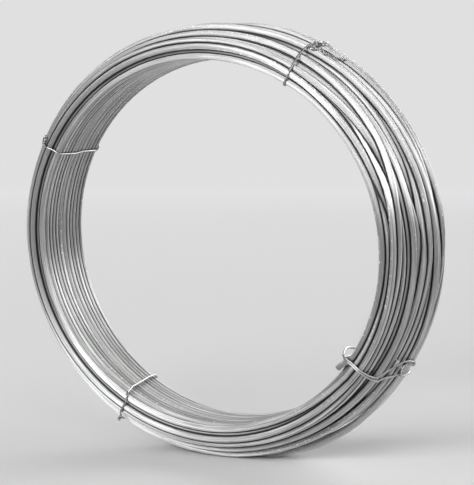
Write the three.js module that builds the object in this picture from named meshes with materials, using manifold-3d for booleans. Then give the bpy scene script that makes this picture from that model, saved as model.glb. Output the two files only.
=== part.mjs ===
// Coil of wire rod: one continuous round rod wound into a hexagonal lay, held by four twisted tie wires.
// Millimetres, +Z up. The coil stands on its rim, its axis lies along Y, and the floor is Z = 0.
import * as THREE from 'three';
import { mergeVertices } from 'three/addons/utils/BufferGeometryUtils.js';
import Module from 'manifold-3d';

const wasm = await Module();
wasm.setup();

// ---- driving dimensions ----
const rodDiameter = 8;
const boreDiameter = 480;
const turnsOnBore = 13; // turns side by side in the innermost layer
const layerCount = 7; // each layer nests in the grooves of the one under it, with one turn fewer
const coilSegments = 48; // flats round the coil, one of them level on the floor
const slump = 4; // how far the standing coil has sunk at its top and spread at its sides

const tieDiameter = 2.5;
const tieClearance = 0.4; // between a tie and the rod that it wraps
const strandClearance = 0.5; // between two strands of a tie
const twistPitch = 9; // length of one full twist
const tieSides = 8;

// The rod's outer end: a turn of the outer layer springs off the bundle in a long low bow.
const looseTurn = { start: 264, end: 324, bow: 12, turn: 0 };
// The rod's inner end: a blunt stub that leaves the bore wall between two turns.
const stub = { start: 344, end: 316, reach: 7, turn: 1.5 };

// Each tie: where it sits round the coil, how far it leans from its front end to its back end, where its
// twist lies across the outer layer, which way the twist points, and how long its twist and its tail are.
const ties = [
  { name: 'tie_wire_top_right', angle: 65.5, lean: 3, twistAt: -14, side: -1, twists: 2, tail: 26 },
  { name: 'tie_wire_left', angle: 155, lean: 0, twistAt: -16, side: -1, twists: 1.25, tail: 0 },
  { name: 'tie_wire_bottom_left', angle: 236.5, lean: -3, twistAt: -16, side: 1, twists: 1.25, tail: 0 },
  { name: 'tie_wire_bottom_right', angle: 323, lean: 0, twistAt: -6, side: 1, twists: 1.5, tail: 12, doubled: true },
];
// The doubled tie goes round twice: its strands part in a V towards the twist, and the second one hangs
// slack over the bore wall.
const vSpread = 12;
const vReach = 18;
const slackBow = 14;
const slackAt = -15; // where the slack strand is furthest from the wall, along the coil's axis

// ---- fits worked out from the driving dimensions ----
const rodRadius = rodDiameter / 2;
const boreRadius = boreDiameter / 2;
const layerPitch = rodDiameter * Math.sin(Math.PI / 3);
const lastLayer = layerCount - 1;
const outerRadius = boreRadius + rodDiameter + lastLayer * layerPitch;
const outerLayerRadius = outerRadius - rodRadius;
const coilWidth = turnsOnBore * rodDiameter;
const spread = slump / outerRadius;
const coilCentre = outerRadius * (1 - spread); // height of the coil's axis over the floor
const flatAngle = (2 * Math.PI) / coilSegments;
const endTuck = 1.3 * layerPitch; // how deep the ends of a strand start inside the bundle

const tieRadius = tieDiameter / 2;
const strandPitch = tieDiameter + strandClearance;
const laneStep = (strandPitch * outerRadius) / boreRadius; // keeps two strands apart on the bore wall too
const twistRadius = strandPitch / 2; // from the twist's own axis to each strand's
const twistHeight = tieClearance + twistRadius + tieRadius; // of the twist's axis over the outer layer

const steel = { color: 0xb4b7b9, metalness: 0.85, roughness: 0.38 };
const tieSteel = { color: 0x8d9092, metalness: 0.85, roughness: 0.42 };

const radians = THREE.MathUtils.degToRad;
const { lerp } = THREE.MathUtils;

// ---- the coil's section: x is the radius from the coil's axis, y runs along it ----
function turnCentre(layer, index) {
  const turns = turnsOnBore - layer;
  return new THREE.Vector2(
    boreRadius + rodRadius + layer * layerPitch,
    (index - (turns - 1) / 2) * rodDiameter,
  );
}

const frontEnd = (layer) => turnCentre(layer, 0);
const backEnd = (layer) => turnCentre(layer, turnsOnBore - layer - 1);

// The turns on the bundle's skin, in order: the bore from front to back, the back end outwards, the outer
// layer from back to front, and the front end inwards.
function skinTurns() {
  const skin = [];
  for (let i = 0; i < turnsOnBore; i++) skin.push(turnCentre(0, i));
  for (let layer = 1; layer < lastLayer; layer++) skin.push(backEnd(layer));
  for (let i = turnsOnBore - layerCount; i >= 0; i--) skin.push(turnCentre(lastLayer, i));
  for (let layer = lastLayer - 1; layer > 0; layer--) skin.push(frontEnd(layer));
  return skin;
}

// Every turn is an octagon about the round rod. The outline takes the corners that face out, and one
// point in the groove between each two turns.
const octagonStep = Math.PI / 4;
const octagonRadius = rodRadius / Math.cos(octagonStep / 2);
const grooveRise = rodRadius * Math.tan(octagonStep / 2);

function scallopedOutline() {
  const skin = skinTurns();
  const outline = [];
  skin.forEach((turn, i) => {
    const before = skin[(i + skin.length - 1) % skin.length].clone().sub(turn);
    const after = skin[(i + 1) % skin.length].clone().sub(turn);
    const first = before.angle();
    let last = after.angle();
    while (last >= first) last -= 2 * Math.PI;
    const firstCorner = Math.floor((first - octagonStep) / octagonStep - 0.5) + 0.5;
    for (let k = firstCorner; k * octagonStep > last + octagonStep; k--) {
      const corner = new THREE.Vector2(octagonRadius, 0).rotateAround(new THREE.Vector2(), k * octagonStep);
      outline.push(turn.clone().add(corner));
    }
    const outwards = new THREE.Vector2(-after.y, after.x).setLength(grooveRise);
    outline.push(turn.clone().addScaledVector(after, 0.5).add(outwards));
  });
  outline.push(outline[0].clone());
  return outline;
}

// A point of the coil: the angle runs from +X towards +Z, and the slumped coil is a little wider than tall.
function coilPoint(radius, angle, axial) {
  return new THREE.Vector3(
    radius * Math.cos(angle) * (1 + spread),
    axial,
    coilCentre + radius * Math.sin(angle) * (1 - spread),
  );
}

// Radius on the flats of the coil at an angle round it: the flats touch the round form at their middles.
function onFlats(radius, angle) {
  const fromMiddle = angle - Math.round(angle / flatAngle) * flatAngle;
  return radius / Math.cos(fromMiddle);
}

// ---- solids ----
// A path that a section follows from point to point, so each point gets one section.
class PointPath extends THREE.CatmullRomCurve3 {
  getPointAt(u, target) {
    return this.getPoint(u, target);
  }
  getTangentAt(u, target) {
    return this.getTangent(u, target);
  }
}

function polygonShape(sides, radius) {
  const shape = new THREE.Shape();
  for (let k = 0; k < sides; k++) {
    const angle = ((k + 0.5) / sides) * 2 * Math.PI;
    shape[k ? 'lineTo' : 'moveTo'](radius * Math.cos(angle), radius * Math.sin(angle));
  }
  shape.closePath();
  return shape;
}

function sweep(points, sides, radius) {
  return new THREE.ExtrudeGeometry(polygonShape(sides, radius), {
    steps: points.length - 1,
    extrudePath: new PointPath(points, false, 'centripetal'),
    bevelEnabled: false,
  });
}

function solidOf(geometry) {
  const bare = geometry.index ? geometry.toNonIndexed() : geometry.clone();
  bare.deleteAttribute('normal');
  bare.deleteAttribute('uv');
  const merged = mergeVertices(bare, 1e-4);
  return new wasm.Manifold(
    new wasm.Mesh({
      numProp: 3,
      vertProperties: new Float32Array(merged.attributes.position.array),
      triVerts: new Uint32Array(merged.index.array),
    }),
  );
}

function geometryOf(solid) {
  const mesh = solid.getMesh();
  const geometry = new THREE.BufferGeometry();
  geometry.setAttribute('position', new THREE.BufferAttribute(mesh.vertProperties, 3));
  geometry.setIndex(new THREE.BufferAttribute(mesh.triVerts, 1));
  geometry.computeVertexNormals();
  return geometry;
}

// ---- the rod ----
function woundBundle() {
  const stretch = 1 / Math.cos(flatAngle / 2);
  const outline = scallopedOutline().reverse().map((p) => new THREE.Vector2(p.x * stretch, p.y));
  const lathe = new THREE.LatheGeometry(outline, coilSegments, flatAngle / 2, 2 * Math.PI);
  return lathe.scale(1 + spread, 1, 1 - spread).translate(0, 0, coilCentre);
}

// The outer end leaves its place in the outer layer, bows off it and dives back in.
function looseTurnPath() {
  const { y: axial } = turnCentre(lastLayer, looseTurn.turn);
  const points = [];
  const steps = 14;
  for (let i = 0; i <= steps; i++) {
    const t = i / steps;
    const rise = (endTuck + looseTurn.bow) * Math.sin(Math.PI * t) ** 2;
    const angle = radians(lerp(looseTurn.start, looseTurn.end, t));
    points.push(coilPoint(outerLayerRadius - endTuck + rise, angle, axial));
  }
  return points;
}

// Radius of the stub's middle line at an angle in degrees: it comes out of the bore wall and stops short.
function stubRadius(degrees) {
  const t = (degrees - stub.start) / (stub.end - stub.start);
  return boreRadius + rodRadius + lerp(endTuck, -stub.reach, t);
}

function stubPath() {
  const { y: axial } = turnCentre(0, stub.turn);
  const points = [];
  const steps = 7;
  for (let i = 0; i <= steps; i++) {
    const degrees = lerp(stub.start, stub.end, i / steps);
    points.push(coilPoint(stubRadius(degrees), radians(degrees), axial));
  }
  return points;
}

function rodCoil() {
  const strandSides = 8;
  const bundle = solidOf(woundBundle());
  const outerEnd = solidOf(sweep(looseTurnPath(), strandSides, octagonRadius));
  const innerEnd = solidOf(sweep(stubPath(), strandSides, octagonRadius));
  return geometryOf(bundle.add(outerEnd).add(innerEnd));
}

// ---- the ties ----
// Points of a wire drawn tight round a ring of turns, given in order round the bundle. Each turn has its own
// lane: how far round the coil the wire lies there.
function wrapRound(turns) {
  const reach = octagonRadius + tieClearance + tieRadius;
  const bendStep = Math.PI / 6;
  const count = turns.length;
  const faceAngle = (i) => {
    const along = turns[(i + 1) % count].centre.clone().sub(turns[i % count].centre);
    return along.angle() + Math.PI / 2;
  };
  const points = [];
  turns.forEach((turn, i) => {
    const from = faceAngle(i + count - 1);
    let to = faceAngle(i);
    while (to > from) to -= 2 * Math.PI;
    const steps = Math.max(1, Math.round((from - to) / bendStep));
    for (let k = 0; k <= steps; k++) {
      const angle = lerp(from, to, k / steps);
      points.push({
        radius: turn.centre.x + reach * Math.cos(angle),
        axial: turn.centre.y + reach * Math.sin(angle),
        lane: turn.lane,
      });
    }
  });
  return points;
}

// The turns that a tie bends round, from the twist over the front end, through the bore and up the back end.
function singleRound() {
  return [
    { centre: frontEnd(lastLayer), lane: 0 },
    { centre: frontEnd(0), lane: 0 },
    { centre: backEnd(0), lane: 0 },
    { centre: backEnd(lastLayer), lane: 0 },
  ];
}

function doubledRounds(degrees) {
  const overStub = new THREE.Vector2(stubRadius(degrees), turnCentre(0, stub.turn).y);
  const overSlack = new THREE.Vector2(boreRadius + rodRadius - slackBow, slackAt);
  const tight = [
    { centre: frontEnd(lastLayer), lane: vReach },
    { centre: frontEnd(0), lane: 0 },
    { centre: overStub, lane: 0 },
    { centre: backEnd(0), lane: -laneStep },
    { centre: backEnd(lastLayer), lane: -laneStep },
  ];
  const slack = [
    { centre: frontEnd(lastLayer), lane: vReach - vSpread },
    { centre: frontEnd(0), lane: -laneStep },
    { centre: overSlack, lane: -laneStep },
    { centre: backEnd(0), lane: 0 },
    { centre: backEnd(lastLayer), lane: 0 },
  ];
  return [tight, slack];
}

function tiePath(tie) {
  const place = (radius, along, axial) => {
    const lean = radians(tie.lean) * (axial / coilWidth);
    const angle = radians(tie.angle) + lean + (tie.side * along) / outerRadius;
    return coilPoint(onFlats(radius, angle), angle, axial);
  };
  const rounds = tie.doubled ? doubledRounds(tie.angle) : [singleRound()];
  const knotAt = rounds[0][0].lane;

  const bend = 2 * tieRadius;
  const stepsInTwist = 8;
  const axisRadius = outerRadius + twistHeight;
  const strand = (phase) => {
    const points = [];
    for (let k = 0; k <= Math.round(tie.twists * stepsInTwist); k++) {
      const turned = phase + (k / stepsInTwist) * 2 * Math.PI;
      const along = knotAt + bend + (k / stepsInTwist) * twistPitch;
      points.push(
        place(axisRadius + twistRadius * Math.sin(turned), along, tie.twistAt + twistRadius * Math.cos(turned)),
      );
    }
    return points;
  };
  const leadIn = (sign) => {
    const low = outerRadius + tieClearance + tieRadius;
    const far = tie.twistAt + sign * (twistRadius + 2 * bend);
    const near = tie.twistAt + sign * (twistRadius + 0.6 * bend);
    return [place(low, knotAt, far), place((low + axisRadius) / 2, knotAt + 0.25 * bend, near)];
  };
  const frontStrand = strand(Math.PI);
  const backStrand = strand(0);

  // the free end of the back strand runs on past the twist and curls up
  const tailStep = 6;
  const curl = 5;
  const tailEnd = backStrand[backStrand.length - 1].y;
  const tail = [];
  const tailSteps = Math.round(tie.tail / tailStep);
  for (let k = 1; k <= tailSteps; k++) {
    const share = k / tailSteps;
    const along = knotAt + bend + tie.twists * twistPitch + share * tie.tail;
    tail.push(place(axisRadius + curl * share ** 2, along, tailEnd - curl * share ** 2));
  }
  return [
    ...frontStrand.slice().reverse(),
    ...leadIn(-1).reverse(),
    ...rounds.flatMap((turns) => wrapRound(turns).map((p) => place(p.radius, p.lane, p.axial))),
    ...leadIn(1),
    ...backStrand,
    ...tail,
  ];
}

// ---- assembly ----
function named(name, geometry, finish) {
  const mesh = new THREE.Mesh(geometry, new THREE.MeshStandardMaterial(finish));
  mesh.name = name;
  return mesh;
}

const coil = new THREE.Group();
coil.add(named('rod_coil', rodCoil(), steel));
for (const tie of ties) coil.add(named(tie.name, sweep(tiePath(tie), tieSides, tieRadius), tieSteel));

export default coil;
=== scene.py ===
import math

import bpy
import numpy as np
from mathutils import Matrix, Vector


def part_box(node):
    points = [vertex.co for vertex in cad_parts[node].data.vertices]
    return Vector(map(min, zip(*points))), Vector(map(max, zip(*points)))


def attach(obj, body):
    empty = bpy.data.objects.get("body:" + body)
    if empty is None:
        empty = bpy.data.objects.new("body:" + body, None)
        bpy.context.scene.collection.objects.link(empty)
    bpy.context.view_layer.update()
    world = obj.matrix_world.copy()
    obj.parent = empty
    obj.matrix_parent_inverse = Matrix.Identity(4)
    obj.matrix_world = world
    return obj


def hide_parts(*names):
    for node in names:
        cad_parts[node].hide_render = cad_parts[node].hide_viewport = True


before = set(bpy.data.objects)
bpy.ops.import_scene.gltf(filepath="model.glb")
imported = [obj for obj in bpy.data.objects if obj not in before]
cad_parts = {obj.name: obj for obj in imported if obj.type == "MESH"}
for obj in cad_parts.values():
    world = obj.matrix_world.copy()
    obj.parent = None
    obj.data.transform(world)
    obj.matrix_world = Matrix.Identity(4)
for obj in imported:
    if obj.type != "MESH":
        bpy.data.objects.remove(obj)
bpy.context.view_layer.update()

scene = bpy.context.scene
rodLow, rodHigh = (np.array(corner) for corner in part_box("rod_coil"))
coilCentre = (rodLow + rodHigh) / 2
print("frame loaded, coil", np.round(rodHigh - rodLow, 4))


# camera: stands to the right of the coil's axis and just above its centre

cameraSet = dict(
    azimuth=25.96,        # degrees round from the front, and above the floor
    elevation=6.06,
    distance=2.596,
    lens=146.2,           # mm, on a sensor of this many mm
    sensor=36.0,
    aimRight=0.015,       # metres from the coil's centre, as the camera sees it
    aimUp=-0.0035,
    aimShift=(-0.0048, 0.0, 0.0011),
)


def toward(azimuth, height):
    # unit vector from the coil: degrees round from the front, then degrees above the floor
    azimuth, height = math.radians(azimuth), math.radians(height)
    return Vector((math.sin(azimuth) * math.cos(height), -math.cos(azimuth) * math.cos(height),
                   math.sin(height)))


def placeCamera(opts):
    # at its distance along the line outward, then moved sideways and up across its view
    outward = toward(opts["azimuth"], opts["elevation"])
    right = (-outward).cross(Vector((0, 0, 1))).normalized()
    up = right.cross(-outward)
    place = Vector(coilCentre) + Vector(opts["aimShift"]) + opts["distance"] * outward
    place += opts["aimRight"] * right + opts["aimUp"] * up
    data = bpy.data.cameras.new("camera")
    data.lens = opts["lens"]
    data.sensor_width = opts["sensor"]
    data.sensor_fit = "AUTO"
    camera = bpy.data.objects.new("camera", data)
    camera.matrix_world = Matrix.Translation(place) @ Matrix((right, up, outward)).transposed().to_4x4()
    scene.collection.objects.link(camera)
    scene.camera = camera


placeCamera(cameraSet)


# shared shapes

def ease(x):
    # three x squared less two x cubed: 0 below 0, 1 above 1, level at both ends
    x = np.clip(x, 0, 1)
    return x * x * (3 - 2 * x)


def bump(x):
    # sine squared over half a turn: 0 outside 0 to 1, with 1 in the middle
    return np.sin(np.pi * np.clip(x, 0, 1)) ** 2


def ripple(waves, angle):
    # sum over k of a_k cos(k angle) + b_k sin(k angle), waves being the pairs (a_k, b_k)
    total = np.zeros_like(angle)
    for k, (a, b) in enumerate(waves, start=1):
        total = total + a * np.cos(k * angle) + b * np.sin(k * angle)
    return total


def unit(v):
    # each vector over its own length
    return v / np.maximum(np.linalg.norm(v, axis=-1, keepdims=True), 1e-12)


def lengthAlong(path):
    # the running sum of the steps between points, from 0
    return np.concatenate([[0], np.cumsum(np.linalg.norm(np.diff(path, axis=0), axis=1))])


def columns(at, known, values):
    # straight-line interpolation of every column of values
    return np.stack([np.interp(at, known, column) for column in values.T], 1)


def carriedFrame(path):
    # two unit vectors across the path at every point, carried along without turning about it: from each
    # point to the next a vector across the path is reflected twice, and the turns this misses are summed
    along = unit(np.gradient(path, axis=0))
    axis = np.eye(3)[np.abs(along).mean(0).argmin()]
    across = unit(np.cross(along, axis + 0.01))
    step = np.diff(path, axis=0)
    size = (step ** 2).sum(1, keepdims=True)
    carried = across[:-1] - 2 * (across[:-1] * step).sum(1, keepdims=True) / size * step
    turned = along[:-1] - 2 * (along[:-1] * step).sum(1, keepdims=True) / size * step
    change = along[1:] - turned
    size = np.maximum((change ** 2).sum(1, keepdims=True), 1e-18)
    carried = carried - 2 * (carried * change).sum(1, keepdims=True) / size * change
    other = np.cross(along, across)
    missed = np.arctan2((carried * other[1:]).sum(1), (carried * across[1:]).sum(1))
    angle = -np.concatenate([[0], np.cumsum(missed)])[:, None]
    first = np.cos(angle) * across + np.sin(angle) * other
    return first, np.cross(along, first), along


def gridFaces(rings, sides):
    # quads between ring i and ring i + 1 of a tube whose rings have the given number of points
    i, j = np.meshgrid(np.arange(rings - 1), np.arange(sides), indexing="ij")
    here, beside = i * sides + j, i * sides + (j + 1) % sides
    return np.stack([here, beside, beside + sides, here + sides], -1).reshape(-1, 4)


def meshFrom(name, verts, quads, fans=()):
    # a mesh of quads, and one many-sided face more for each ring in fans
    loops = np.concatenate([quads.ravel()] + [np.asarray(fan).ravel() for fan in fans]).astype(np.int32)
    counts = np.concatenate([np.full(len(quads), 4), [len(fan) for fan in fans]]).astype(np.int32)
    starts = np.concatenate([[0], np.cumsum(counts)[:-1]]).astype(np.int32)
    mesh = bpy.data.meshes.new(name)
    mesh.vertices.add(len(verts))
    mesh.vertices.foreach_set("co", verts.astype(np.float32).ravel())
    mesh.loops.add(len(loops))
    mesh.loops.foreach_set("vertex_index", loops)
    mesh.polygons.add(len(counts))
    mesh.polygons.foreach_set("loop_start", starts)
    mesh.polygons.foreach_set("use_smooth", np.ones(len(counts), bool))
    mesh.update(calc_edges=True)
    piece = bpy.data.objects.new(name, mesh)
    scene.collection.objects.link(piece)
    return piece


def addAttribute(piece, name, values):
    # one number or one vector for each point of the mesh
    kind = "FLOAT_VECTOR" if values.ndim > 1 else "FLOAT"
    layer = piece.data.attributes.new(name, kind, "POINT")
    field = "vector" if values.ndim > 1 else "value"
    layer.data.foreach_set(field, values.astype(np.float32).ravel())


mapSet = dict(
    name="OFBake",
    margin=0.04,          # left free at both edges of a strip, as a share of it
    capSize=0.4,          # radius of an end cap, as a share of a strip
    capPlaces=(0.3, 0.7),
)


def addStripMap(piece, rings, sides, strips, opts):
    # UV map: the tube is cut into equal lengths, laid one above the other, with its end caps above them.
    # Along a strip the map runs with the tube's length, and across it round the tube
    perStrip = math.ceil((rings - 1) / strips)
    i, j = np.meshgrid(np.arange(rings - 1), np.arange(sides), indexing="ij")
    wide = 1 - 2 * opts["margin"]
    left = (i % perStrip) / perStrip
    low = (i // perStrip + opts["margin"] + wide * j / sides) / (strips + 1)
    right, high = left + 1 / perStrip, low + wide / sides / (strips + 1)
    quads = np.stack([np.stack([left, low], -1), np.stack([left, high], -1),
                      np.stack([right, high], -1), np.stack([right, low], -1)], 2).reshape(-1, 2)
    a = np.arange(sides) * 2 * np.pi / sides
    disc = np.stack([np.cos(a), np.sin(a)], 1) * opts["capSize"] / (strips + 1)
    caps = [disc + (place, 1 - 0.5 / (strips + 1)) for place in opts["capPlaces"]]
    layer = piece.data.uv_layers.new(name=opts["name"])
    layer.uv.foreach_set("vector", np.concatenate([quads] + caps).astype(np.float32).ravel())


def roundTube(name, path, radius, sides, bevel):
    # a circle carried along the path: path + radius (cos a * first + sin a * second), with a short cone
    # and a flat cap at both ends
    first, second, along = carriedFrame(path)
    path = np.concatenate([path[:1] - bevel * along[:1], path, path[-1:] + bevel * along[-1:]])
    first = np.concatenate([first[:1], first, first[-1:]])
    second = np.concatenate([second[:1], second, second[-1:]])
    reach = np.full((len(path), 1, 1), radius)
    reach[[0, -1]] -= bevel
    a = np.arange(sides) * 2 * np.pi / sides
    circle = np.cos(a)[:, None] * first[:, None] + np.sin(a)[:, None] * second[:, None]
    rings = path[:, None] + reach * circle
    ring = np.arange(sides)
    piece = meshFrom(name, rings.reshape(-1, 3), gridFaces(len(path), sides),
                     (ring[::-1], ring + (len(path) - 1) * sides))
    # drawn: the length along the tube, then the place in its circle, for streaks that run with it
    gone = lengthAlong(path)
    drawn = np.stack([np.repeat(gone[:, None], sides, 1), np.tile(radius * np.cos(a), (len(path), 1)),
                      np.tile(radius * np.sin(a), (len(path), 1))], -1)
    addAttribute(piece, "drawn", drawn.reshape(-1, 3))
    strips = max(1, round(math.sqrt(gone[-1] / (2 * math.pi * radius))))
    addStripMap(piece, len(path), sides, strips, mapSet)
    return piece, rings


# rod: one continuous length, laid turn by turn

rodSet = dict(
    diameter=0.008,
    turns=70,
    perTurn=104,          # sections in one turn
    sides=13,
    startAngle=-40.4,     # degrees, where the inner end lies and every turn is counted from
    tailSections=4,       # how far the last turn runs past the start angle
    # the inner end, bent in over the bore: degrees, metres inwards and back, and how much finer its sections
    stub=dict(span=7.5, lift=0.009, back=0.003, finer=6),
    # the outermost turns bow off the bundle between two angles: metres for each
    looseTurns=dict(start=264, end=336, bows=(0.005, 0.007, 0.006)),
    cutBevel=0.0006,
    # rows from the bore outwards on the left side: strands, first and last place across the coil in mm
    leftRows=((12, -48, 48), (12, -44, 44), (13, -48, 48), (12, -44, 44), (11, -32, 48), (10, -20, 48)),
    # and on the right side, where the coil is deeper and its front is one long slope
    rightRows=((13, -48, 48), (11, -44, 44), (10, -40, 40), (8, -28, 36), (8, -24, 40), (7, -20, 36),
               (6, -8, 32), (4, -4, 24), (3, 8, 24)),
    # the bore's and the rim's radius, and how they depart from a circle: cosine and sine, once, twice and
    # three times round the coil
    boreRadius=0.2404,
    boreWaves=((-0.0107, -0.0002), (0.0021, -0.0033), (-0.0002, 0.0002)),
    outerRadius=0.28957,
    outerWaves=((0.0, 0.0), (0.0041, 0.0021), (0.0005, 0.0006)),
    crossing=(4, 38),     # degrees, where a turn steps over to its next place, and how long that takes
    crossingLength=(40, 70),
    firstCrossing=(-12, 30),
    halfWidth=0.048,
    wander=(0.0005, 0.0010),    # metres, outwards and across
    wanderStep=17,        # sections between two bends of it
    # the laying: in each pass the turns are evened out, drawn to their places and pushed apart
    passes=240,
    evened=2,             # times in a pass
    pull=0.05,            # share of the way to its place, less with every pass
    lastPull=0.008,
    boreHold=0.15,        # the same for the innermost row across the coil, which keeps its spacing
    sink=0.00002,         # metres towards the bore
    pushes=3,             # times in a pass
    push=0.35,            # share of an overlap that each strand gives way
    spacing=1.003,        # diameters between the centres of strands that just touch
    paintedShadeFall=6,        # times that the painted shade mask falls by a factor of e over one diameter
    seed=7,
)


def nestedRows(rows, opts):
    # rows of strands nested at 60 degrees, every second row running back the way the last one came
    rise = opts["diameter"] * math.sqrt(3) / 2
    lay = []
    for k, (count, first, last) in enumerate(rows):
        across = np.linspace(first, last, count) / 1000
        across = across[::-1] if k % 2 else across
        lay.append(np.stack([np.full(count, opts["diameter"] / 2 + k * rise), across], 1))
    return np.concatenate(lay)


def matched(places, others):
    # reorders the others so that each lies near its partner: pairs swap while the squared distances drop
    order = np.arange(len(places))
    cost = ((places[:, None] - others[None]) ** 2).sum(2)
    changed = True
    while changed:
        changed = False
        for i in range(len(places)):
            gain = (cost[i, order[i]] + cost[np.arange(len(places)), order]
                    - cost[i, order] - cost[np.arange(len(places)), order[i]])
            j = gain.argmax()
            if gain[j] > 1e-12:       # more than rounding
                order[i], order[j] = order[j], order[i]
                changed = True
    return others[order]


def layRod(opts):
    # distance from the coil's axis, place across it and angle for every section of the rod. Each turn is
    # drawn towards its place in the rows and stays smooth, and strands that overlap push each other apart
    rng = np.random.default_rng(opts["seed"])
    turns, perTurn, d = opts["turns"], opts["perTurn"], opts["diameter"]
    whole = turns * perTurn
    count = whole + opts["tailSections"]
    n = np.arange(count)
    turn = n // perTurn
    theta = math.radians(opts["startAngle"]) + n * 2 * np.pi / perTurn
    local = theta - 2 * np.pi * turn
    left = nestedRows(opts["leftRows"], opts)
    right = matched(left, nestedRows(opts["rightRows"], opts))
    bore = opts["boreRadius"] + ripple(opts["boreWaves"], local)
    outer = opts["outerRadius"] + ripple(opts["outerWaves"], local)
    depths = [lay[:, 0].max() + d / 2 for lay in (left, right)]
    share = np.clip((outer - bore - depths[0]) / (depths[1] - depths[0]), 0, 1)[:, None]

    def slot(index):
        # a turn's place in the rows, between the left side's and the right side's
        index = np.clip(index, 0, turns - 1)
        return left[index] * (1 - share) + right[index] * share

    middle = rng.uniform(*opts["crossing"], turns + 1)
    length = rng.uniform(*opts["crossingLength"], turns + 1)
    middle[:2], length[:2] = opts["firstCrossing"]
    mix = ease((np.degrees(local) - middle[turn]) / length[turn] + 0.5)[:, None]
    lay = slot(turn - 1) * (1 - mix) + slot(turn) * mix

    def wander(size):
        # random bends, straight between knots
        step = opts["wanderStep"]
        knots = rng.normal(0, size, count // step + 3)
        return np.interp(n, np.arange(len(knots)) * step, knots)

    lay[:, 0] += wander(opts["wander"][0])
    lay[:, 1] += wander(opts["wander"][1])
    place = lay.copy()
    own = np.arange(turns)
    innermost = lay[:, 0] < 0.8 * d     # the first row's centres lie half a diameter from the bore
    # how far from the coil's axis the rod's centre may lie, inside the box of the frame's coil
    half = (rodHigh - rodLow) / 2 - d / 2
    wall = np.minimum(half[0] / np.maximum(abs(np.cos(theta)), 0.1),
                      half[2] / np.maximum(abs(np.sin(theta)), 0.1))
    for step in range(opts["passes"]):
        for _ in range(opts["evened"]):
            place[1:-1] = 0.5 * place[1:-1] + 0.25 * (place[:-2] + place[2:])
        pull = opts["pull"] * (1 - step / opts["passes"]) + opts["lastPull"]
        pulls = np.stack([np.full(count, pull), np.where(innermost, opts["boreHold"], pull)], 1)
        place += pulls * (lay - place)
        place[:, 0] -= opts["sink"]
        for _ in range(opts["pushes"]):
            section = place[:whole].reshape(turns, perTurn, 2)
            apart = section[:, None] - section[None]
            gap = np.sqrt((apart ** 2).sum(3)) + 1e-9
            overlap = np.clip(d * opts["spacing"] - gap, 0, None) / gap
            overlap[own, own] = 0
            section = section + opts["push"] * (overlap[..., None] * apart).sum(1)
            place[:whole] = section.reshape(-1, 2)
            place[:, 0] = np.clip(place[:, 0], d / 2, wall - bore)
            place[:, 1] = np.clip(place[:, 1], -opts["halfWidth"], opts["halfWidth"])
    loose = opts["looseTurns"]
    radius = place[:, 0] + bore
    for index, bow in zip(np.argsort(right[:, 0])[-len(loose["bows"]):], loose["bows"]):
        travel = np.degrees(theta) - 360 * index - loose["start"]
        radius = radius + bow * bump(travel / (loose["end"] - loose["start"]))
    return radius, place[:, 1], theta


def polar(radius, across, theta):
    # points about the coil's axis: radius times cosine, place across, radius times sine, from its centre
    spot = np.stack([radius * np.cos(theta), across, radius * np.sin(theta)], -1)
    return spot + coilCentre


def makeRod(opts):
    # the rod as laid, with finer sections where its inner end is bent in
    radius, across, theta = layRod(opts)
    stub = opts["stub"]
    n = np.arange(len(theta))
    early = math.ceil(stub["span"] / 360 * opts["perTurn"]) + 1
    fine = np.concatenate([np.arange(0, early, 1 / stub["finer"]), n[early:]])
    radius, across, theta = (np.interp(fine, n, values) for values in (radius, across, theta))
    lift = ease(1 - (np.degrees(theta) - opts["startAngle"]) / stub["span"])
    radius, across = radius - stub["lift"] * lift, across + stub["back"] * lift
    path = polar(radius, across, theta)
    half = (rodHigh - rodLow) / 2 - opts["diameter"] / 2
    low, high = coilCentre - half, coilCentre + half
    path[:, [0, 2]] = np.clip(path[:, [0, 2]], low[[0, 2]], high[[0, 2]])
    piece, rings = roundTube("rod_winding", path, opts["diameter"] / 2, opts["sides"], opts["cutBevel"])
    # the mask of the painted shade that darkens the rod between its strands
    addAttribute(piece, "paintedShadeMask", paintedShade(rings, fine, path, opts).ravel())
    triangles = len(rings) * opts["sides"] * 2
    print("rod laid", round(float(lengthAlong(path)[-1]), 1), "m,", triangles, "triangles")
    return piece, (radius, across, theta)


def paintedShade(rings, fine, path, opts):
    # painted shade between strands: this mask darkens the rod's colour where other strands lie close
    # how close the nearest other strand is to each point of the surface, 1 where they touch and falling
    # to 0: e to the power of minus the gap over a part of the rod's thickness, in the point's own section
    turns, perTurn, d = opts["turns"], opts["perTurn"], opts["diameter"]
    reach = np.stack([np.hypot(path[:, 0], path[:, 2] - coilCentre[2]), path[:, 1]], 1)
    known = np.searchsorted(fine, np.arange(turns * perTurn))
    sections = reach[known].reshape(turns, perTurn, 2)
    inner = rings[1:-1]
    spots = np.stack([np.hypot(inner[..., 0], inner[..., 2] - coilCentre[2]), inner[..., 1]], -1)
    paintedShadeMask = np.zeros(rings.shape[:2])
    index = np.round(fine).astype(int)
    for number in range(perTurn):
        here = np.flatnonzero(index % perTurn == number)
        others = sections[:, number]
        gap = np.linalg.norm(spots[here][:, :, None] - others, axis=-1) - d / 2
        mine = index[here] // perTurn
        inside = mine < turns
        gap[np.flatnonzero(inside), :, mine[inside]] = d
        paintedShadeMask[here + 1] = np.exp(-np.clip(gap.min(2), 0, None) / (d / opts["paintedShadeFall"]))
    return paintedShadeMask


rodWinding, rodLay = makeRod(rodSet)


# ties: four soft wires round the bundle, each twisted to itself on the rim

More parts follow.
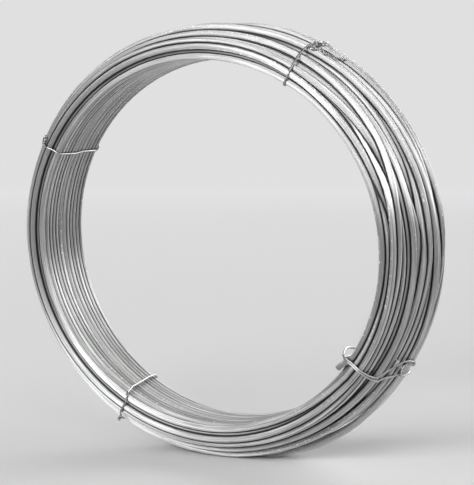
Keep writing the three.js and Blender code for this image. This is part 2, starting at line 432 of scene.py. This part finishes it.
tieSet = dict(
    diameter=0.0025,
    clearance=0.0001,
    sides=10,
    step=0.0012,          # metres between sections
    fineSteps=4,          # parts of a step in which corners are evened out, and the metres they take
    smooth=0.0024,
    cutBevel=0.0002,
    twistRadius=0.0013,
    twistPitch=0.0075,
    twistSections=40,
    twistLean=0.3,        # the helix starts square to a line outwards that leans this much round the coil
    mouth=2.0,            # mm of the loop left out beside the twist, where the wire bends into it
    overrun=150,          # degrees round the bundle, before the first place and after the last
    bearings=1440,        # directions looked in, each time round
    # places are mm along the wire and degrees round the coil, starting at the outermost strand and going
    # over the front to the bore. knot is where a tie is twisted together, and twist the way it points:
    # outwards, round the coil and across it. Each end has its own number of twists and a tail of places
    # with mm off the bundle; slack is the first mm, the last mm and the height of a stretch that stands off
    ties=dict(
        tie_wire_top_right=dict(
            knot=12, passes=1,
            route=((12, 64.5), (24, 64.8), (34, 65.0), (50, 64.8), (68, 64.0), (82, 63.7), (96, 63.7),
                   (160, 64.5), (210, 65.0), (240, 64.8), (275, 63.7), (300, 64.5)),
            twist=(0.35, -0.75, 0.55),
            ends=((2.0, ()), (0.5, ((30, 63.9, 1.2), (27, 62.7, 1.8), (16, 61.8, 1.8), (22, 60.8, 0.6),
                                    (25, 60.2, 0.3), (17, 58.0, 0.3), (9, 56.2, 0.3), (3, 55.9, 1.2)))),
        ),
        tie_wire_left=dict(
            knot=98, passes=1,
            route=((98, 154.2), (117, 153.7), (132, 154.0), (167, 154.3), (187, 153.8), (223, 154.0),
                   (228, 152.7), (260, 153.5), (388, 154.1)),
            twist=(0.1, -1.0, 0.1),
            ends=((1.8, ()), (1.5, ())),
        ),
        tie_wire_bottom_left=dict(
            knot=64, passes=1,
            route=((64, 239.0), (68, 239.1), (89, 239.5), (101, 239.6), (112, 238.2), (134, 236.7),
                   (166, 235.8), (192, 235.0), (208, 235.0), (212, 235.6), (240, 236.5), (347, 239.0)),
            twist=(0.8, 0.1, -0.3),
            ends=((0.8, ()), (0.8, ())),
        ),
        tie_wire_bottom_right=dict(
            knot=10, passes=2,
            route=((10, 326.8), (18, 326.1), (32, 325.0), (39, 323.5), (46, 323.3), (56, 323.4),
                   (70, 323.9), (84, 324.1), (96, 323.9), (110, 324.0), (160, 324.0), (195, 323.8),
                   (245, 326.0), (275, 330.0), (289, 330.8), (301, 331.0), (311, 330.6), (317, 329.3),
                   (325, 327.7), (334, 325.3), (339, 324.2), (351, 324.0), (365, 324.5), (379, 324.7),
                   (391, 324.5), (410, 324.6), (455, 324.6), (490, 324.2), (540, 325.5), (599, 326.8)),
            twist=(-0.15, 0.85, -0.45),
            ends=((2.0, ((6, 330.0, 1.5), (-6, 330.4, 2.5), (2, 331.4, 2.5))), (2.0, ())),
            slack=(379, 463, 11.5),
        ),
    ),
)


def sectionNear(angles):
    # places of all strands in the sections at some angles round the coil
    radius, across, theta = rodLay
    at = np.radians(np.asarray(angles))[:, None] + 2 * np.pi * np.arange(-1, rodSet["turns"] + 1)
    at = at[(at > theta[0]) & (at < theta[-1])]
    return np.stack([np.interp(at, theta, radius), np.interp(at, theta, across)], 1)


def bundleOutline(tie, opts):
    # the outline of the strands' hull, pushed out by the rod's and the wire's radius: at each bearing the
    # strand that lies furthest that way. The outermost place is mm 0; the outline starts before it and
    # runs past the last time round
    passes, overrun = tie["passes"], opts["overrun"]
    bearing = np.linspace(overrun, -360 * passes - overrun, opts["bearings"] * passes)
    facing = np.stack([np.cos(np.radians(bearing)), np.sin(np.radians(bearing))], 1)
    angles = np.array(tie["route"])[:, 1]
    strands = sectionNear((angles.min(), angles.mean(), angles.max()))
    stand = rodSet["diameter"] / 2 + opts["diameter"] / 2 + opts["clearance"]
    outline = strands[(strands @ facing.T).argmax(0)] + stand * facing
    gone = lengthAlong(outline) * 1000
    gone -= np.interp(0, -bearing, gone)
    around = np.interp(360 * passes, -bearing, gone)
    return gone, outline, facing, around


def onBundle(outline, at, angle, lift):
    # points on the bundle: mm along its outline, degrees round the coil, mm off it
    gone, spots, facing, _ = outline
    lift = np.reshape(lift, (-1, 1)) / 1000
    spot = columns(at, gone, spots) + lift * unit(columns(at, gone, facing))
    return polar(spot[:, 0], spot[:, 1], np.radians(angle))


def softened(path, opts):
    # evened out to small steps, each point then the weighted mean of its neighbours
    fine = opts["step"] / opts["fineSteps"]
    gone = lengthAlong(path)
    path = columns(np.arange(0, gone[-1], fine), gone, path)
    width = round(opts["smooth"] / fine)
    weights = np.hanning(width + 2)[1:-1]
    weights /= weights.sum()
    before, after = 2 * path[:1] - path[width:0:-1], 2 * path[-1:] - path[-2:-width - 2:-1]
    padded = np.concatenate([before, path, after])
    path = np.stack([np.convolve(column, weights, "same")[width:-width] for column in padded.T], 1)
    return path[::opts["fineSteps"]]


def tiePath(tie, opts):
    # a loop round the bundle between the two halves of a double helix about the twist's axis, with a tail
    # at each end
    outline = bundleOutline(tie, opts)
    around = outline[3]
    places, angles = np.array(tie["route"]).T
    halfStep = opts["step"] * 500       # mm
    at = np.arange(tie["knot"], tie["knot"] + around, halfStep)
    lift = np.zeros(len(at))
    if "slack" in tie:
        first, last, lift = tie["slack"]
        lift = lift * bump((at - first) / (last - first))
    loop = onBundle(outline, at, np.interp(at, places, angles), lift)
    base = onBundle(outline, places[:1], angles[:1], opts["twistRadius"] * 1000)[0]
    out = np.array([math.cos(math.radians(angles[0])), 0, math.sin(math.radians(angles[0]))])
    rim = np.array([-out[2], 0, out[0]])
    axis = unit(np.array(tie["twist"]) @ np.stack([out, rim, np.array([0, 1, 0])]))
    first = unit(np.cross(axis, out + opts["twistLean"] * rim))
    second = np.cross(axis, first)
    halves = []
    for side, (twists, tail) in enumerate(tie["ends"]):
        run = np.linspace(0, twists * opts["twistPitch"], opts["twistSections"])[:, None]
        swing = 2 * np.pi * run / opts["twistPitch"] + np.pi * side
        circle = np.cos(swing) * first + np.sin(swing) * second
        helix = base + run * axis + opts["twistRadius"] * circle
        tail = np.array(tail).reshape(-1, 3)
        halves.append(np.concatenate([helix, onBundle(outline, *tail.T)]))
    gap = round(opts["mouth"] / halfStep)
    return softened(np.concatenate([halves[0][::-1], loop[gap:-gap], halves[1]]), opts)


def makeTies(opts):
    # a round wire along each tie's path
    made = {}
    for node, tie in opts["ties"].items():
        path = tiePath(tie, opts)
        name = node.replace("tie_wire", "twisted_tie")
        piece, _ = roundTube(name, path, opts["diameter"] / 2, opts["sides"], opts["cutBevel"])
        made[node] = piece
        print(piece.name, round(float(lengthAlong(path)[-1]), 3), "m")
    return made


tiePieces = makeTies(tieSet)


# finishes: bright zinc on drawn steel, whose gloss is spread round the wire and not along it

zincNoise = dict(
    # where a noise goes from one look to the next, and how fully
    broadEdge=(0.42, 0.58),       # worn to zinc, in broad streaks
    fineEdge=(0.50, 0.72),        # to the dark colour of streaks and painted shade, in fine ones
    fineDepth=0.55,
    dullEdge=(0.46, 0.68),        # to worn, in long runs
    dullDepth=0.8,
    speckEdge=(0.62, 0.68),       # specks, and the runs that hold them
    speckRunEdge=(0.54, 0.62),
    speckDulled=0.6,              # added to the roughness of a speck
    roughEdge=(0.35, 0.65),
    patchScale=26.0,              # per metre, patches that are rougher or smoother
    patchEdge=(0.3, 0.7),
    patchDulled=(-0.03, 0.06),
    octaveRoughness=0.6,
    # how many finer octaves a noise has, and how far along the wire each one starts
    detail=dict(broad=3.0, fine=2.0, dull=1.0, speckRun=1.0, speck=1.0, patch=3.0),
    start=dict(broad=0.0, fine=5.0, dull=13.0, speckRun=9.0),
)

rodFinish = dict(
    zinc=(0.90, 0.90, 0.90),
    worn=(0.46, 0.46, 0.46),
    # dark colour of the fine streaks, and of the painted shade between strands
    groove=(0.06, 0.06, 0.06),
    speck=(0.95, 0.95, 0.94),
    roughness=(0.46, 0.52),
    # roughness where the painted shade is
    grooveRoughness=0.5,
    paintedShade=(0.08, 0.38),     # mask value where the painted shade starts, and where it is darkest
    drawnGloss=0.95,
    streaks=(7.0, 420.0),       # per metre, along the rod and round it
    fineStreaks=(22.0, 1500.0),
    dullRuns=(0.9, 40.0),
    speckRuns=(1.6, 120.0),
    speckSize=300.0,
    bump=0.00003,
)

tieFinish = dict(
    zinc=(0.56, 0.56, 0.56),
    worn=(0.36, 0.36, 0.36),
    # dark colour of the fine streaks; the ties get no painted shade
    groove=(0.05, 0.05, 0.05),
    speck=(0.85, 0.85, 0.84),
    roughness=(0.22, 0.34),
    grooveRoughness=0.55,
    drawnGloss=0.5,
    streaks=(25.0, 700.0),
    fineStreaks=(60.0, 2500.0),
    dullRuns=(9.0, 100.0),
    speckRuns=(12.0, 200.0),
    speckSize=600.0,
    bump=0.00004,
)


def addNode(tree, kind, values=None, **settings):
    # a shader node with its settings, and with its inputs set to numbers or joined to other nodes
    node = tree.nodes.new("ShaderNode" + kind)
    for name, value in settings.items():
        setattr(node, name, value)
    for name, value in (values or {}).items():
        if isinstance(value, bpy.types.NodeSocket):
            tree.links.new(value, node.inputs[name])
        else:
            node.inputs[name].default_value = value
    return node


def stretched(tree, place, scale, kind):
    # noise drawn out along the rod: its coordinates are the length along the rod and the place round it
    along, around = scale
    placed = addNode(tree, "Mapping", {"Vector": place, "Scale": (along, around, around),
                                       "Location": (zincNoise["start"][kind], 0, 0)})
    return addNode(tree, "TexNoise", {"Vector": placed.outputs[0], "Scale": 1.0,
                                      "Detail": zincNoise["detail"][kind],
                                      "Roughness": zincNoise["octaveRoughness"]}).outputs["Fac"]


def ranged(tree, value, low, high, start=0.0, end=1.0):
    # start at low, end at high and a straight line between
    return addNode(tree, "MapRange", {"Value": value, "From Min": low, "From Max": high, "To Min": start,
                                      "To Max": end}).outputs["Result"]


def mixed(tree, share, first, second):
    # the first colour where the share is 0, the second where it is 1
    mix = addNode(tree, "Mix", {0: share}, data_type="RGBA")
    for index, colour in ((6, first), (7, second)):
        if isinstance(colour, bpy.types.NodeSocket):
            tree.links.new(colour, mix.inputs[index])
        else:
            mix.inputs[index].default_value = (*colour, 1)
    return mix.outputs[2]


def galvanised(name, opts, grooves):
    # zinc over steel; for the rod, painted shade darkens the colour and sets the roughness where other
    # strands lie close
    material = bpy.data.materials.new(name)
    material.use_nodes = True
    tree = material.node_tree
    shader = tree.nodes["Principled BSDF"]
    shader.inputs["Metallic"].default_value = 1
    shader.inputs["Anisotropic"].default_value = opts["drawnGloss"]
    shader.inputs["Anisotropic Rotation"].default_value = 0.25      # a quarter turn: round the wire
    lengthwise = addNode(tree, "Tangent", direction_type="UV_MAP", uv_map=mapSet["name"])
    tree.links.new(lengthwise.outputs[0], shader.inputs["Tangent"])
    noise = zincNoise
    drawn = addNode(tree, "Attribute", attribute_name="drawn").outputs["Vector"]
    place = addNode(tree, "TexCoord").outputs["Object"]

    # colour: zinc worn in streaks, dulled in runs
    broad = stretched(tree, drawn, opts["streaks"], "broad")
    fine = stretched(tree, drawn, opts["fineStreaks"], "fine")
    patches = addNode(tree, "TexNoise", {"Vector": place, "Scale": noise["patchScale"],
                                         "Detail": noise["detail"]["patch"]}).outputs["Fac"]
    colour = mixed(tree, ranged(tree, broad, *noise["broadEdge"]), opts["worn"], opts["zinc"])
    streaks = ranged(tree, fine, *noise["fineEdge"], 0, noise["fineDepth"])
    colour = mixed(tree, streaks, colour, opts["groove"])
    dull = stretched(tree, drawn, opts["dullRuns"], "dull")
    runs = ranged(tree, dull, *noise["dullEdge"], 0, noise["dullDepth"])
    colour = mixed(tree, runs, colour, opts["worn"])

    # white specks, where their noise and the noise of their runs are both high
    cloud = stretched(tree, drawn, opts["speckRuns"], "speckRun")
    grain = addNode(tree, "TexNoise", {"Vector": drawn, "Scale": opts["speckSize"],
                                       "Detail": noise["detail"]["speck"]}).outputs["Fac"]
    specks = addNode(tree, "Math", {0: ranged(tree, grain, *noise["speckEdge"]),
                                    1: ranged(tree, cloud, *noise["speckRunEdge"])},
                     operation="MULTIPLY").outputs[0]
    colour = mixed(tree, specks, colour, opts["speck"])

    # roughness: with the streaks, the patches and the specks
    rough = addNode(tree, "Math", {0: ranged(tree, broad, *noise["roughEdge"], *opts["roughness"]),
                                   1: ranged(tree, patches, *noise["patchEdge"], *noise["patchDulled"])},
                    operation="ADD").outputs[0]
    rough = addNode(tree, "Math", {0: rough, 1: ranged(tree, specks, 0, 1, 0, noise["speckDulled"])},
                    operation="ADD").outputs[0]
    # painted shade between the strands: the colour goes to the dark colour where the mask is high
    if grooves:
        paintedShadeMask = addNode(tree, "Attribute", attribute_name="paintedShadeMask").outputs["Fac"]
        paintedShadeShare = ranged(tree, paintedShadeMask, *opts["paintedShade"])
        colour = mixed(tree, paintedShadeShare, colour, opts["groove"])
        rough = addNode(tree, "Mix", {0: paintedShadeShare, 2: rough, 3: opts["grooveRoughness"]}).outputs[0]
    height = addNode(tree, "Math", {0: broad, 1: fine}, operation="ADD").outputs[0]
    bumps = addNode(tree, "Bump", {"Height": height, "Distance": opts["bump"], "Strength": 1.0})
    tree.links.new(colour, shader.inputs["Base Color"])
    tree.links.new(rough, shader.inputs["Roughness"])
    tree.links.new(bumps.outputs[0], shader.inputs["Normal"])
    return material


# the rod's finish carries painted shade between its strands, the ties' finish none
rodWinding.data.materials.append(galvanised("galvanised_rod_painted_shade", rodFinish, True))
tieSteel = galvanised("tie_wire_steel", tieFinish, False)
for piece in tiePieces.values():
    piece.data.materials.append(tieSteel)
print("finishes made")


# stage: pale paper that lies on the floor and curves up all round, soft lamps far off, a dim even room

stageSet = dict(
    sides=72,
    inner=0.3,            # metres from the coil's axis: the first ring of the paper,
    fadeStart=1.5,        # where it starts to glow by itself,
    back=4.4,             # and where it starts to curve up
    curve=0.6,            # radius of the curve, and how high the paper ends
    curveSteps=12,
    height=1.1,
    paper=0.80,           # grey of the paper
    paperRoughness=0.9,
    paperSpecular=0.1,
    glow=0.74,            # how brightly its rim glows, which is how the floor looks under the lamps
    frontGlow=0.5,        # how bright the paper is on the camera's side, beside the far side
    frontWidth=0.8,       # how fast it changes from one to the other
    roomLevel=0.10,
    # lamps: degrees round from the front and above the floor, the light on a surface that faces the lamp,
    # where 1 shows a colour as it is written, and how wide the lamp looks in degrees
    lamps=dict(
        front=dict(azimuth=-10, height=15, level=1.10, width=45),
        upper=dict(azimuth=30, height=32, level=0.22, width=40),
        left=dict(azimuth=-50, height=15, level=0.20, width=45),
        right=dict(azimuth=92, height=15, level=0.46, width=45),
        backRight=dict(azimuth=140, height=15, level=0.35, width=45),
        back=dict(azimuth=180, height=15, level=0.62, width=45),
    ),
)


def makePaper(opts):
    # a profile of floor, quarter circle and low wall turned about the vertical; its rim glows as brightly
    # as the floor looks, less so on the camera's side, and the floor takes the light of the lamps
    bend = np.linspace(0, math.pi / 2, opts["curveSteps"] + 1)[1:]
    away = np.concatenate([[opts["inner"], opts["fadeStart"], opts["back"]],
                           opts["back"] + opts["curve"] * np.sin(bend),
                           [opts["back"] + opts["curve"]]])
    height = np.concatenate([np.zeros(3), opts["curve"] * (1 - np.cos(bend)), [opts["height"]]])
    sides = opts["sides"]
    bearing = -np.arange(sides) * 2 * np.pi / sides
    verts = np.stack([away[:, None] * np.sin(bearing), away[:, None] * np.cos(bearing),
                      np.repeat(height[:, None], sides, 1)], -1).reshape(-1, 3)
    paper = meshFrom("paper_floor", verts, gridFaces(len(away), sides)[:, ::-1], (np.arange(sides),))
    fade = np.clip((away - opts["fadeStart"]) / (opts["back"] - opts["fadeStart"]), 0, 1)
    facing = ease(0.5 + opts["frontWidth"] * np.cos(bearing + math.radians(cameraSet["azimuth"])))
    glow = fade[:, None] * (opts["frontGlow"] + (1 - opts["frontGlow"]) * facing)
    addAttribute(paper, "fade", np.repeat(fade, sides))
    addAttribute(paper, "glow", glow.ravel())
    material = bpy.data.materials.new("paper")
    material.use_nodes = True
    tree = material.node_tree
    shader = tree.nodes["Principled BSDF"]
    shader.inputs["Roughness"].default_value = opts["paperRoughness"]
    shader.inputs["Specular IOR Level"].default_value = opts["paperSpecular"]
    shader.inputs["Emission Color"].default_value = (1, 1, 1, 1)
    fading = addNode(tree, "Attribute", attribute_name="fade").outputs["Fac"]
    tree.links.new(mixed(tree, fading, [opts["paper"]] * 3, (0, 0, 0)), shader.inputs["Base Color"])
    glowing = addNode(tree, "Attribute", attribute_name="glow").outputs["Fac"]
    tree.links.new(ranged(tree, glowing, 0, 1, 0, opts["glow"]), shader.inputs["Emission Strength"])
    material.cycles.emission_sampling = "NONE"      # the paper glows too evenly to need rays of its own
    paper.data.materials.append(material)


def makeLights(opts):
    # an even grey room and wide lamps far off, so the light is the same all over the coil
    world = bpy.data.worlds.new("studio")
    scene.world = world
    world.use_nodes = True
    room = world.node_tree.nodes["Background"]
    room.inputs["Color"].default_value = (1, 1, 1, 1)
    room.inputs["Strength"].default_value = opts["roomLevel"]
    world.cycles.sampling_method = "NONE"           # the room is even too
    for name, lamp in opts["lamps"].items():
        data = bpy.data.lights.new(name, "SUN")
        data.angle = math.radians(lamp["width"])
        data.energy = lamp["level"] * math.pi
        sun = bpy.data.objects.new(name, data)
        shineFrom = toward(lamp["azimuth"], lamp["height"])
        sun.matrix_world = shineFrom.to_track_quat("Z", "Y").to_matrix().to_4x4()
        scene.collection.objects.link(sun)


makePaper(stageSet)
makeLights(stageSet)
scene.view_settings.view_transform = "Standard"
print("stage lit")


# each piece rides on the frame's body and stands in for its plain one
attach(rodWinding, "root")
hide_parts("rod_coil")
for node, piece in tiePieces.items():
    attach(piece, "root")
    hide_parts(node)
